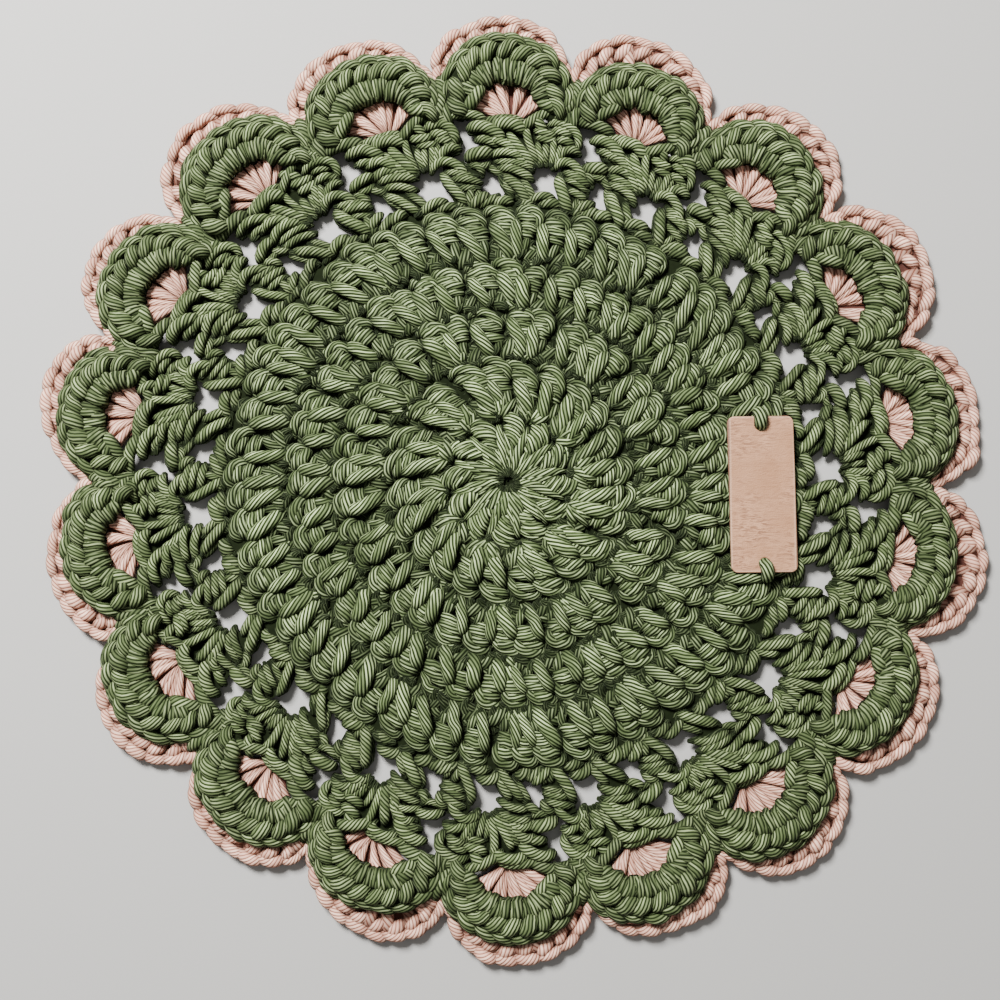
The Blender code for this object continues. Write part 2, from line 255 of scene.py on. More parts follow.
def stray(points):  # small unevenness, the same for a whole strand and a little for each point
    whole = dice.normal(size=(points.shape[0], 1, 3)) * yarn["wander"]
    each = dice.normal(size=points.shape) * yarn["wander"] * yarn["wanderEach"]
    return points + (whole + each) * (1, 1, yarn["wanderUp"])


label = {
    "middle": (79.5, -5.0),
    "wide": 21.0,
    "long": 49.9,
    "thick": 1.5,
    "corner": 2.2,
    "hole": 1.5,  # radius
    "holeInset": 3.2,
    "turn": math.radians(1.0),
    "under": 5.35,  # height of its underside
    "edgeRound": 0.28,
    "stitchThick": 4.0,
    "pressed": 2.5,  # mm beside it over which the yarn rises again
}
labelMiddle = [label["middle"][k] + cloth["footprintShift"][k] for k in (0, 1)]


def pressed(points, thick):  # yarn under the label lies lower
    outside = np.maximum(abs(points[..., 0] - labelMiddle[0]) - label["wide"] / 2,
                         abs(points[..., 1] - labelMiddle[1]) - label["long"] / 2)
    proud = np.maximum(points[..., 2] + 0.5 * thick * 0.9 - label["under"], 0)
    lower = points.copy()
    lower[..., 2] -= proud * (1 - smooth(0.0, label["pressed"], outside))
    return lower


def layStrand(line, thick, layer="arch", press=False, **look):  # strayed from the pattern, laid down and spun
    laid = layDown(stray(line), layer)
    return spin(pressed(laid, thick) if press else laid, thick, **look)


def layBack(line, thick, **look):  # a strand of the underside
    return layStrand(line, thick, back=True, shine=yarn["backShine"], **look)


triangleCount = {}


def addPiece(name, mesh, material, node):  # rides on the doily's one body, in place of a node of the solids
    mesh.materials.append(material)
    mesh.update()
    piece = bpy.data.objects.new(name, mesh)
    bpy.context.scene.collection.objects.link(piece)
    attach(piece, "root")
    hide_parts(node)
    return piece


def yarnPiece(name, strands, material, node="green_cloth"):  # one mesh of many strands
    starts = np.cumsum([0] + [len(s["points"]) for s in strands[:-1]])
    points = np.concatenate([s["points"] for s in strands]) * mm
    quads, tris = (np.concatenate([s[kind] + start for s, start in zip(strands, starts)])
                   for kind in ("quads", "tris"))
    marks = np.concatenate([s[kind] for kind in ("quadMarks", "triMarks") for s in strands])
    lit = np.concatenate([s["lit"] for s in strands])
    corners = np.concatenate((quads.ravel(), tris.ravel()))
    sizes = np.repeat((4, 3), (len(quads), len(tris)))

    mesh = bpy.data.meshes.new(name)
    mesh.vertices.add(len(points))
    mesh.vertices.foreach_set("co", points.astype(np.float32).ravel())
    mesh.loops.add(len(corners))
    mesh.loops.foreach_set("vertex_index", corners.astype(np.int32))
    mesh.polygons.add(len(sizes))
    mesh.polygons.foreach_set("loop_start", (np.cumsum(sizes) - sizes).astype(np.int32))
    mesh.update(calc_edges=True)
    mesh.polygons.foreach_set("use_smooth", np.ones(len(sizes), dtype=bool))
    # the lit mark: painted shade of each point, mixed into the yarn's colour by its material
    mesh.attributes.new("lit", "FLOAT", "POINT").data.foreach_set("value", lit.astype(np.float32))
    yarnMarks = mesh.attributes.new("yarn", "FLOAT_VECTOR", "CORNER")
    yarnMarks.data.foreach_set("vector", marks.astype(np.float32).ravel())
    triangleCount[name] = 2 * len(quads) + len(tris)
    return addPiece(name, mesh, material, node)


def addNode(tree, kind, values=None, **settings):  # a value is a plain one or another node's output
    node = tree.nodes.new(kind)
    for key, value in settings.items():
        setattr(node, key, value)
    for socket, value in (values or {}).items():
        if isinstance(value, bpy.types.NodeSocket):
            tree.links.new(value, node.inputs[socket])
        else:
            node.inputs[socket].default_value = value
    return node


def mathNode(tree, operation, first, second=None):
    values = {0: first} if second is None else {0: first, 1: second}
    return addNode(tree, "ShaderNodeMath", values, operation=operation).outputs[0]


def mixColour(tree, factor, first, second):
    return addNode(tree, "ShaderNodeMix", {0: factor, 6: first, 7: second}, data_type="RGBA").outputs[2]


def remap(tree, value, fromLow, fromHigh, toLow=0.0, toHigh=1.0, soft=False):
    return addNode(tree, "ShaderNodeMapRange", {
        "Value": value, "From Min": fromLow, "From Max": fromHigh, "To Min": toLow, "To Max": toHigh,
    }, interpolation_type="SMOOTHSTEP" if soft else "LINEAR").outputs[0]


def noiseNode(tree, place, scale, detail, **more):
    values = {"Vector": place, "Scale": scale, "Detail": detail, **more}
    return addNode(tree, "ShaderNodeTexNoise", values).outputs["Fac"]


def objectPlace(tree):
    return addNode(tree, "ShaderNodeTexCoord").outputs["Object"]


def newMaterial(name, values):  # what is the same all over is set on the shader itself
    material = bpy.data.materials.new(name)
    material.use_nodes = True
    shader = material.node_tree.nodes["Principled BSDF"]
    for socket, value in values.items():
        shader.inputs[socket].default_value = value
    return material, material.node_tree, shader


def addBump(tree, shader, height, strength, distance):  # distance in mm
    values = {"Height": height, "Strength": strength, "Distance": distance * mm}
    bump = addNode(tree, "ShaderNodeBump", values)
    tree.links.new(bump.outputs["Normal"], shader.inputs["Normal"])


cotton = {
    "fibreScale": (0.45, 6.0, 91.0),  # of the noise along the yarn, across its plies, from strand to strand
    "plyScale": (0.12, 3.7, 53.0),
    "plyGlow": (0.40, 0.60),  # noise over which a ply's painted highlight turns from dull to bright
    "dyeScale": 55.0,
    "dyeSpread": 0.35,
    "flankFrom": (0.0, 0.5),  # height on a ply over which the groove's painted shade turns to the flank's colour
    "crestFrom": (0.45, 1.1),
    "fibreRoughness": (0.2, 0.8, 0.62, 0.9),  # from this noise to this roughness
    "fibreRelief": 0.4,  # against the height of a ply
    "bump": (0.8, 0.22),  # strength, mm
}


def makeSpunYarnGroup():  # fibres, plies and uneven dye of a cotton yarn, with painted shade in its grooves and low parts and a painted highlight on its crests
    group = bpy.data.node_groups.new("spun cotton", "ShaderNodeTree")
    inputs = {
        "Crest": (0.5, 0.5, 0.5, 1), "Flank": (0.3, 0.3, 0.3, 1), "Groove": (0.1, 0.1, 0.1, 1),
        "Strand Spread": 0.2, "Fibre Contrast": 0.3, "Depth Shade": 0.8,
        "Ridge Width": 1.0, "Ply Spread": 0.5,
    }
    for title, value in inputs.items():
        kind = "NodeSocketColor" if isinstance(value, tuple) else "NodeSocketFloat"
        socket = group.interface.new_socket(name=title, in_out="INPUT", socket_type=kind)
        socket.default_value = value
    for title, kind in (("Colour", "NodeSocketColor"), ("Roughness", "NodeSocketFloat"),
                        ("Height", "NodeSocketFloat")):
        group.interface.new_socket(name=title, in_out="OUTPUT", socket_type=kind)
    given = group.nodes.new("NodeGroupInput").outputs
    out = group.nodes.new("NodeGroupOutput").inputs
    link = group.links.new

    def calc(operation, first, second=None):
        return mathNode(group, operation, first, second)

    def yarnNoise(marks, scales, detail, roughness):
        scaled = {k: calc("MULTIPLY", mark, scale) for k, (mark, scale) in enumerate(zip(marks, scales))}
        spot = addNode(group, "ShaderNodeCombineXYZ", scaled).outputs[0]
        return noiseNode(group, spot, 1.0, detail, Roughness=roughness)

    marks = addNode(group, "ShaderNodeAttribute", attribute_name="yarn").outputs["Vector"]
    along, ply, chance = addNode(group, "ShaderNodeSeparateXYZ", {0: marks}).outputs
    fibres = yarnNoise((along, ply, chance), cotton["fibreScale"], 3.0, 0.6)
    plies = yarnNoise((along, calc("FLOOR", ply), chance), cotton["plyScale"], 1.0, 0.5)
    glow = remap(group, plies, *cotton["plyGlow"], calc("SUBTRACT", 1.0, given["Ply Spread"]))
    dye = noiseNode(group, objectPlace(group), cotton["dyeScale"], 2.0, Roughness=0.5)

    # a ply swells between two grooves, which lie at the whole numbers of the mark
    share = calc("FRACT", ply)
    swell = calc("MULTIPLY", calc("SUBTRACT", 1.0, share), calc("MULTIPLY", share, 4.0))
    ridge = calc("POWER", swell, given["Ridge Width"])
    # painted shade darkens the grooves and a painted highlight brightens each crest, more on some plies than
    # others
    slope = remap(group, ridge, *cotton["flankFrom"], soft=True)
    flank = mixColour(group, slope, given["Groove"], given["Flank"])
    bright = calc("MULTIPLY", remap(group, ridge, *cotton["crestFrom"], soft=True), glow)
    colour = mixColour(group, bright, flank, given["Crest"])

    # brighter and darker strands, fibres and patches
    strand = calc("MULTIPLY", calc("SUBTRACT", chance, 0.5), given["Strand Spread"])
    streak = calc("MULTIPLY", calc("SUBTRACT", fibres, 0.5), given["Fibre Contrast"])
    patch = calc("MULTIPLY", calc("SUBTRACT", dye, 0.5), cotton["dyeSpread"])
    value = calc("ADD", calc("ADD", strand, streak), calc("ADD", patch, 1.0))
    # painted shade: the colour sinks towards the groove's where the lit mark is low
    lit = addNode(group, "ShaderNodeAttribute", attribute_name="lit").outputs["Fac"]
    shade = calc("MULTIPLY", calc("SUBTRACT", 1.0, lit), given["Depth Shade"])
    colour = mixColour(group, shade, colour, given["Groove"])
    tone = addNode(group, "ShaderNodeHueSaturation", {"Color": colour, "Value": value})
    link(tone.outputs[0], out["Colour"])
    link(remap(group, fibres, *cotton["fibreRoughness"]), out["Roughness"])
    link(calc("ADD", calc("MULTIPLY", fibres, cotton["fibreRelief"]), ridge), out["Height"])
    return group


def cottonMaterial(name, look, sheenTint):
    material, tree, shader = newMaterial(name, {
        "Sheen Weight": 0.02, "Sheen Roughness": 0.45, "Sheen Tint": sheenTint, "Specular IOR Level": 0.08})
    spun = addNode(tree, "ShaderNodeGroup", look, node_tree=spunCotton)
    tree.links.new(spun.outputs["Colour"], shader.inputs["Base Color"])
    tree.links.new(spun.outputs["Roughness"], shader.inputs["Roughness"])
    addBump(tree, shader, spun.outputs["Height"], *cotton["bump"])
    return material


spunCotton = makeSpunYarnGroup()

# In each look the Crest colour is a painted highlight and the Groove colour is painted shade, in the grooves
# and wherever the lit mark is low
greenLook = {
    "Crest": (0.50, 0.61, 0.31, 1),
    "Flank": (0.047, 0.072, 0.021, 1),
    "Groove": (0.003, 0.006, 0.001, 1),
    "Depth Shade": 0.97,
    "Ridge Width": 1.8,
    "Ply Spread": 0.8,
    "Strand Spread": 0.4,
    "Fibre Contrast": 0.6,
}
greenEdgeDimLook = {  # the same green with dimmer painted highlights on its crests: a more shaded copy for the lace, shells and arches
    **greenLook,
    "Crest": (0.34, 0.41, 0.20, 1),
    "Flank": (0.044, 0.066, 0.021, 1),
    "Ridge Width": 1.5,
}
pinkLook = {
    "Crest": (1.0, 0.68, 0.51, 1),
    "Flank": (0.58, 0.28, 0.20, 1),
    "Groove": (0.07, 0.018, 0.010, 1),
    "Depth Shade": 0.96,
    "Ridge Width": 0.9,
    "Ply Spread": 0.6,
    "Strand Spread": 0.25,
    "Fibre Contrast": 0.4,
}
greenCotton = cottonMaterial("green cotton yarn", greenLook, (0.85, 0.95, 0.75, 1))
greenEdgeDimCotton = cottonMaterial("green cotton yarn edge dimmed", greenEdgeDimLook, (0.85, 0.95, 0.75, 1))
pinkCotton = cottonMaterial("pink cotton yarn", pinkLook, (1.0, 0.92, 0.88, 1))
print("materials made")

# In the tables that follow a strand is its thickness in mm and the points it runs through
# Strands of one stitch in a cell 9.1 mm wide and 16.5 mm tall: (across clockwise, outward, height) in mm
solidRounds = {
    "counts": (12, 24, 36, 48, 60),
    "edges": (1.6, 20.5, 40.0, 56.5, 72.0, 90.6),
    "slots": (10.0, 1.6, 3.1, 4.2, 5.7),  # degrees, where a sector of each round starts
    "baseTurn": (0.0, -14.5, 0.0, 0.0, 0.0),  # degrees that the feet stand clockwise of the stitch below
    "pairSpread": (0.0, 0.17, 0.17, 0.17, 0.17),  # between the feet of two in one, share of a stitch
    "cell": (9.1, 16.5),
    "pairSqueeze": 0.62,  # two stitches in one
    "rib": 2.0,  # mm that the middle of a round stands above its edges
    "ribLow": 0.6,  # share of it by which the edges are lowered
    "leg": 4,  # which of the strands is the thick leg
    "legMiddle": 4.2,  # it leans about this place across the cell
    "ringSway": 0.8,  # degrees
    "sway": (0.55, 0.45, 0.06),  # a whole stitch: mm across, mm outward, lean
    "strands": (
        (3.6, ((0.4, 13.8, 2.7), (1.2, 14.9, 3.3), (2.8, 15.6, 3.8), (5.0, 15.3, 3.9), (6.9, 14.2, 3.7),
               (8.2, 12.5, 3.3), (8.9, 10.9, 2.7), (9.1, 9.4, 1.9))),
        (3.6, ((1.5, 13.2, 2.5), (3.0, 12.9, 3.4), (5.0, 12.5, 3.6), (7.0, 11.9, 3.2),
               (8.6, 11.2, 2.2))),
        (3.5, ((2.2, 10.8, 2.3), (3.8, 10.4, 3.2), (5.8, 9.8, 3.4), (7.6, 9.2, 3.0), (9.4, 8.6, 1.9))),
        (3.1, ((3.2, 8.4, 1.9), (4.8, 8.0, 2.9), (6.8, 7.4, 3.1), (8.4, 6.9, 2.6), (9.6, 6.4, 1.7))),
        (4.5, ((0.5, 11.8, 2.3), (1.2, 10.3, 3.4), (2.3, 8.0, 4.0), (3.6, 5.5, 4.1), (4.9, 3.0, 3.9),
               (6.1, 0.8, 3.3), (6.9, -0.8, 2.3))),
        (3.5, ((6.4, -0.4, 2.0), (7.0, 2.0, 3.0), (7.7, 4.4, 3.1), (8.5, 7.0, 2.3))),
        (4.0, ((-2.2, -1.2, 2.2), (-0.9, 0.5, 3.2), (1.0, 2.4, 3.3), (2.9, 4.5, 2.3))),
        (3.4, ((-1.2, 5.6, 1.5), (0.2, 4.6, 2.3), (1.8, 3.0, 2.3), (3.0, 1.0, 1.5))),
    ),
    # plies that fan out where two stitches are worked in one: (across, outward of the foot, height) in mm
    "footFan": (
        (3.0, ((0.5, -0.6, 1.5), (-1.6, 0.9, 3.0), (-4.0, 2.7, 3.5), (-6.0, 5.2, 2.4))),
        (3.0, ((0.3, -0.7, 1.5), (-1.2, 1.7, 3.2), (-3.2, 4.6, 3.7), (-5.0, 8.4, 2.8))),
        (3.0, ((0.1, -0.6, 1.5), (-0.5, 2.1, 3.2), (-1.6, 5.4, 3.7), (-2.4, 8.6, 2.8))),
    ),
    "fanWidth": (0.0, 1.0, 0.6, 0.5, 0.5),  # of each round's fans
    "fanLift": (0.0, 0.7, 0.2, 0.0, 0.0),
    "legLean": (0.0, 0.35, 0.65, 0.8, 0.85),  # of the thick legs, share of the pattern's
    # the twelve stitches of the ring: (degrees clockwise of the middle, radius, height)
    "ringStrands": (
        (3.3, ((-19.0, 1.6, 1.5), (-19.0, 5.5, 3.2), (-18.5, 9.5, 4.0), (-17.5, 13.0, 4.2),
               (-16.5, 16.0, 3.8), (-15.5, 18.8, 2.4))),
        (3.0, ((-9.0, 1.8, 1.4), (-9.0, 5.5, 3.1), (-9.5, 9.2, 4.0), (-11.0, 12.6, 4.2),
               (-12.5, 15.5, 3.4))),
        (3.0, ((1.0, 1.7, 1.5), (1.0, 5.5, 3.1), (1.0, 8.8, 3.9), (1.0, 11.6, 3.6))),
        (2.8, ((-13.0, 20.4, 2.4), (-9.0, 21.3, 3.5), (-2.0, 20.6, 3.9), (5.0, 18.8, 3.8),
               (9.5, 16.6, 3.4), (11.0, 13.6, 2.4))),
        (3.1, ((-12.0, 19.9, 2.6), (-7.5, 19.4, 3.9), (-1.0, 17.9, 4.4), (5.0, 16.1, 4.0),
               (8.5, 14.5, 2.7))),
        (3.0, ((-11.5, 17.8, 2.8), (-7.0, 17.1, 4.2), (-1.0, 15.6, 4.6), (5.0, 13.9, 4.2),
               (8.5, 12.5, 2.8))),
        (2.9, ((-10.5, 15.7, 2.8), (-6.0, 14.9, 4.1), (-1.0, 13.5, 4.4), (5.0, 12.0, 3.8),
               (8.0, 10.8, 2.6))),
        (2.5, ((-9.5, 13.6, 2.6), (-5.0, 12.8, 3.7), (0.0, 11.6, 3.8), (5.0, 10.2, 2.6))),
    ),
    "backHeight": 5.0,  # a strand of the back lies this much less its own height
    "look": {"depth": (2.0, 4.7)},
    "ringLook": {"depth": (1.4, 3.8)},
    "fanLook": {"ends": (0.4, 0.5), "taper": 0.4, "depth": (1.8, 4.0), "tuck": 4.5},
}


def stitchPlaces(level):  # for each stitch of a round: top angle, foot angle, widths at top and foot
    counts, edges = solidRounds["counts"], solidRounds["edges"]
    count = counts[level]
    stitch = np.arange(count)
    top = solidRounds["slots"][level] - 360 / count * (stitch + 0.5)
    topWide = np.full(count, 2 * math.pi * edges[level + 1] / count)
    if level == 0:
        return top, top, topWide, np.full(count, 2 * math.pi * edges[0] / count)
    sector, place = stitch // (level + 1), stitch % (level + 1)  # the first two of a sector are worked in one
    parent = sector * level + np.maximum(place - 1, 0)
    side = np.where(place == 0, 1, np.where(place == 1, -1, 0))
    apart = solidRounds["pairSpread"][level] * 360 / counts[level - 1] * side
    foot = stitchPlaces(level - 1)[0][parent] + solidRounds["baseTurn"][level] + apart
    squeeze = np.where(place < 2, solidRounds["pairSqueeze"], 1.0)
    return top, foot, topWide, 2 * math.pi * edges[level] / counts[level - 1] * squeeze


def ribbed(line):  # a stitch stands highest at the middle of its round
    def lift(y):
        share = min(max(y / solidRounds["cell"][1], 0), 1)
        return solidRounds["rib"] * (math.sin(math.pi * share) - solidRounds["ribLow"])
    return [(x, y, z + lift(y)) for x, y, z in line]


def besideRay(angle, across, outward, height):  # clockwise across a ray from the middle, and outward along it
    x = outward * np.cos(angle) + across * np.sin(angle)
    y = outward * np.sin(angle) - across * np.cos(angle)
    return np.stack((x, y, np.broadcast_to(height, x.shape)), axis=-1)


def stitchLine(level, line, sway):  # a strand of every stitch of a round, in the even pattern
    cellWide, cellTall = solidRounds["cell"]
    inner, outer = solidRounds["edges"][level:level + 2]
    top, foot, topWide, footWide = (values[:, None] for values in stitchPlaces(level))
    x, y, height = np.array(line).T
    share = y / cellTall
    within = np.clip(share, 0, 1)
    middle = np.radians(foot + (top - foot) * smooth(0.0, 1.0, within))
    wide = footWide + (topWide - footWide) * within
    lean = sway[:, 2:] * (y - cellTall / 2)
    across = (x - cellWide / 2 + sway[:, :1] + lean) * wide / cellWide
    outward = inner + share * (outer - inner) + sway[:, 1:2] * np.clip(4 * share, 0, 1)
    return besideRay(middle, across, outward, height)


def aroundLine(line, angles):  # the same strand at each angle: (degrees clockwise of it, radius, height)
    turn, radius, height = np.array(line).T
    angle = np.radians(angles[:, None] - turn)
    height = np.broadcast_to(height, angle.shape)
    return np.stack((radius * np.cos(angle), radius * np.sin(angle), height), axis=-1)


def turnedOver(line, height):  # the same strand for the underside
    return line * (1, 1, -1) + (0, 0, height)


def makeRing():  # the first round, worked into the ring
    front, back = [], []
    middles = stitchPlaces(0)[0] + dice.normal(size=solidRounds["counts"][0]) * solidRounds["ringSway"]
    for thick, points in solidRounds["ringStrands"]:
        line = aroundLine(points, middles)
        leg = points[0][1] < 3
        ends, taper = ((0.3, 0.5), 0.5) if leg else ((0.5, 0.5), 0.25)
        front.append(layStrand(line, thick, ends=ends, taper=taper, **solidRounds["ringLook"]))
        back.append(layBack(turnedOver(line, solidRounds["backHeight"]), thick, ends=ends))
    return front, back


def makeSolidRound(level):
    front, back = [], []
    sway = dice.normal(size=(solidRounds["counts"][level], 3)) * solidRounds["sway"]
    lean, upright = solidRounds["legLean"][level], solidRounds["legMiddle"]
    for k, (thick, points) in enumerate(solidRounds["strands"]):
        shown = points
        if k == solidRounds["leg"]:
            shown = [(upright + (x - upright) * lean, y, z) for x, y, z in points]
        deep = points[0][1] < 3 or points[-1][1] < 0
        front.append(layStrand(stitchLine(level, ribbed(shown), sway), thick, press=True,
                               tuck=4.5 if deep else 3.0, **solidRounds["look"]))
        mirrored = [(solidRounds["cell"][0] - x, y, solidRounds["backHeight"] - z)
                    for x, y, z in ribbed(points)]
        back.append(layBack(stitchLine(level, mirrored, sway), thick))
    sectors = solidRounds["counts"][0]
    pairs = stitchPlaces(level)[1].reshape(sectors, -1)[:, :2].mean(axis=1)
    inner = solidRounds["edges"][level]
    width, lift = solidRounds["fanWidth"][level], solidRounds["fanLift"][level]
    for thick, points in solidRounds["footFan"]:
        for side in (-1, 1):
            line = [(math.degrees(side * x * width / (inner + y)), inner + y, z + lift) for x, y, z in points]
            front.append(layStrand(aroundLine(line, pairs), thick, press=True, **solidRounds["fanLook"]))
    return front, back


fronts, backs = [], []
for level in range(len(solidRounds["counts"])):
    front, back = makeSolidRound(level) if level else makeRing()
    fronts.append(front)
    backs += back
pieces = [
    yarnPiece("green_rounds_inner", fronts[0] + fronts[1] + fronts[2], greenCotton),
    yarnPiece("green_round_four", fronts[3], greenCotton),
    yarnPiece("green_round_five", fronts[4], greenCotton),
]
print("solid rounds made")

# Strands of one scallop: (degrees clockwise of its middle, radius in mm, height in mm)
openwork = {
    "backHeight": 5.0,
    "strands": (
        # post between the small and the large opening
        (3.0, ((-3.6, 107.4, 2.6), (-2.4, 108.6, 3.6), (-0.6, 109.0, 3.9), (1.2, 107.9, 3.7),
               (2.8, 106.0, 2.6))),
        (2.8, ((-3.0, 106.0, 2.3), (-1.4, 106.0, 3.4), (0.6, 105.5, 3.6), (2.4, 104.6, 3.3),
               (3.8, 103.6, 2.4))),
        (2.9, ((-2.6, 103.6, 2.2), (-0.8, 103.4, 3.3), (1.0, 102.7, 3.5), (2.6, 101.3, 3.1),
               (3.7, 100.0, 2.2))),
        (2.6, ((-4.1, 105.8, 2.2), (-3.7, 104.0, 3.0), (-2.7, 102.6, 3.1), (-1.6, 102.2, 2.2))),
        (3.5, ((-2.0, 101.4, 2.2), (-1.0, 99.6, 3.3), (0.4, 97.0, 3.8), (1.8, 94.2, 3.7),
               (3.1, 91.6, 2.8))),
        (2.8, ((1.4, 99.8, 2.2), (2.4, 97.6, 3.0), (3.3, 95.2, 3.2), (4.2, 92.4, 2.5))),
        (2.2, ((-2.4, 101.6, 2.0), (-1.8, 98.8, 2.6), (-0.8, 96.4, 2.7), (0.2, 94.2, 2.2))),
        # post between the large and the next small opening
        (3.2, ((6.8, 104.2, 2.4), (7.4, 106.4, 3.4), (9.0, 107.6, 3.9), (10.8, 106.2, 3.8),
               (12.0, 103.6, 3.2), (12.3, 101.4, 2.1))),
        (2.7, ((9.0, 104.4, 2.3), (10.4, 103.6, 3.3), (12.2, 102.6, 3.4), (14.2, 101.4, 2.4))),
        (2.7, ((9.4, 101.6, 2.3), (10.8, 101.0, 3.3), (12.6, 100.2, 3.4), (14.6, 99.0, 2.4))),
        (2.6, ((9.8, 98.8, 2.2), (11.2, 98.4, 3.1), (12.8, 97.8, 3.2), (14.4, 96.8, 2.3))),
        (3.5, ((8.3, 103.0, 2.3), (8.6, 100.4, 3.4), (9.4, 97.2, 3.8), (10.5, 94.2, 3.7),
               (11.7, 91.2, 2.7))),
        (2.6, ((11.6, 91.6, 2.4), (12.1, 93.6, 3.1), (12.4, 95.6, 3.0), (12.4, 97.0, 2.4))),
        (2.5, ((13.2, 92.2, 2.3), (13.6, 94.0, 3.0), (14.0, 96.2, 2.8))),
        (2.7, ((12.6, 105.4, 2.3), (13.8, 104.4, 3.2), (14.6, 102.8, 3.2), (14.9, 100.8, 2.3))),
        # front loops of the stitches below
        (3.4, ((-8.2, 91.2, 2.2), (-6.9, 92.6, 3.2), (-5.4, 94.2, 3.4), (-4.0, 95.4, 2.5))),
        (3.4, ((-6.4, 90.8, 2.0), (-5.0, 91.8, 3.0), (-3.6, 93.2, 3.1), (-2.4, 94.4, 2.2))),
        (3.6, ((-3.6, 91.4, 2.0), (-2.2, 92.6, 3.1), (-0.8, 93.2, 3.1), (0.2, 92.4, 2.2))),
        (3.2, ((1.2, 91.2, 1.8), (2.6, 92.0, 2.6), (4.0, 91.6, 1.9))),
        (3.5, ((2.8, 91.8, 2.2), (4.4, 93.6, 3.2), (6.2, 94.5, 3.3), (8.2, 94.2, 2.3))),
        (3.4, ((5.0, 91.0, 1.9), (6.6, 91.9, 2.9), (8.2, 92.2, 2.9), (9.8, 91.6, 2.0))),
        (3.2, ((9.6, 91.0, 1.8), (10.8, 91.8, 2.6), (12.0, 91.4, 1.8))),
        (3.4, ((12.0, 90.8, 1.9), (13.0, 92.0, 2.8), (14.2, 92.4, 2.0))),
        # chain over the small opening
        (4.0, ((-7.4, 106.8, 2.6), (-6.2, 108.0, 3.9), (-4.6, 108.6, 4.1), (-2.9, 108.6, 3.0))),
        (2.4, ((-6.8, 105.6, 2.3), (-5.4, 104.9, 3.0), (-4.2, 105.0, 3.0), (-3.2, 106.2, 2.3))),
    ),
}
shells = {
    "backHeight": 5.4,
    "strands": (
        # legs that fan out of the large opening
        (3.2, ((3.6, 103.4, 2.0), (2.4, 105.8, 3.2), (0.9, 108.8, 3.8), (-0.2, 111.8, 3.8),
               (-0.8, 114.4, 2.8))),
        (3.2, ((4.0, 104.2, 2.0), (3.1, 106.8, 3.3), (1.9, 110.2, 4.0), (0.8, 113.4, 4.0),
               (0.3, 116.0, 2.8))),
        (2.8, ((4.5, 104.8, 2.0), (4.0, 107.6, 3.4), (3.4, 111.4, 4.2), (3.0, 114.8, 4.3),
               (3.1, 118.2, 3.4))),
        (2.6, ((5.2, 104.9, 1.9), (5.0, 107.4, 3.1), (4.7, 110.2, 3.7), (4.6, 113.0, 2.8))),
        (2.5, ((5.9, 104.9, 1.9), (5.9, 107.4, 3.0), (6.0, 110.2, 3.6), (6.1, 113.0, 2.8))),
        (2.6, ((6.4, 104.8, 1.9), (6.8, 107.6, 3.3), (7.1, 111.2, 4.0), (7.3, 114.8, 3.4))),
        (2.8, ((6.9, 104.8, 1.9), (7.5, 107.2, 3.2), (8.0, 110.2, 3.8), (8.3, 113.6, 2.8))),
        (3.2, ((7.2, 105.6, 2.0), (8.2, 108.2, 3.4), (9.4, 110.4, 4.0), (10.8, 111.0, 3.6),
               (11.9, 110.2, 2.6))),
        # left half of the top
        (3.8, ((-6.6, 116.6, 2.8), (-5.2, 117.5, 4.0), (-3.4, 116.6, 4.4), (-1.8, 114.6, 4.2),
               (-0.6, 112.8, 2.9))),
        (3.2, ((-3.8, 111.6, 2.4), (-2.4, 112.4, 3.7), (-0.8, 111.4, 4.0), (0.5, 109.4, 3.8),
               (1.5, 107.0, 2.6))),
        (3.6, ((-2.4, 116.6, 2.8), (-1.0, 118.2, 4.3), (0.8, 118.3, 4.6), (2.2, 117.0, 4.3),
               (3.2, 115.4, 3.0))),
        (3.2, ((-5.0, 118.2, 2.6), (-3.2, 119.2, 3.5), (-1.0, 119.9, 3.7), (1.2, 119.8, 3.5),
               (3.0, 118.8, 2.6))),
        (3.0, ((-5.4, 113.6, 2.2), (-4.0, 113.8, 3.2), (-2.4, 112.8, 3.3), (-1.4, 111.4, 2.4))),
        # right half of the top
        (3.2, ((4.0, 122.0, 2.8), (4.6, 120.8, 4.2), (5.5, 119.0, 4.5), (6.3, 117.0, 3.2))),
        (3.0, ((4.1, 117.4, 2.8), (5.2, 116.2, 4.2), (6.6, 115.8, 4.3), (7.8, 116.2, 3.0))),
        (2.8, ((4.6, 114.6, 2.6), (5.8, 113.8, 3.9), (7.2, 113.6, 3.9), (8.2, 114.2, 2.8))),
        (3.1, ((6.6, 118.6, 2.8), (8.0, 119.6, 4.3), (9.8, 119.0, 4.5), (11.1, 117.0, 4.1),
               (11.6, 114.6, 3.6), (11.3, 112.0, 2.6))),
        (2.8, ((7.4, 117.0, 2.8), (8.8, 116.8, 4.1), (10.6, 115.8, 3.2))),
        (2.8, ((7.8, 114.4, 2.6), (9.2, 114.4, 3.9), (10.8, 113.4, 3.0))),
        (2.6, ((9.0, 112.4, 2.4), (10.2, 112.6, 3.4), (11.4, 111.8, 2.6))),
    ),
}


scallopMiddles = (np.arange(cloth["scallops"]) + 0.5) * cloth["step"]


def makeScallopStrands(table):
    front, back = [], []
    for thick, points in table["strands"]:
        line = aroundLine(points, scallopMiddles)
        front.append(layStrand(line, thick, press=True, tight=True, depth=(1.8, 4.0)))
        back.append(layBack(turnedOver(line, table["backHeight"]), thick))
    return front, back


laceFront, laceBack = makeScallopStrands(openwork)
shellFront, shellBack = makeScallopStrands(shells)
pieces.append(yarnPiece("green_openwork", laceFront, greenEdgeDimCotton))
pieces.append(yarnPiece("green_shells", shellFront, greenEdgeDimCotton))
pieces.append(yarnPiece("green_back", backs + laceBack + shellBack, greenCotton))
print("openwork and shells made")

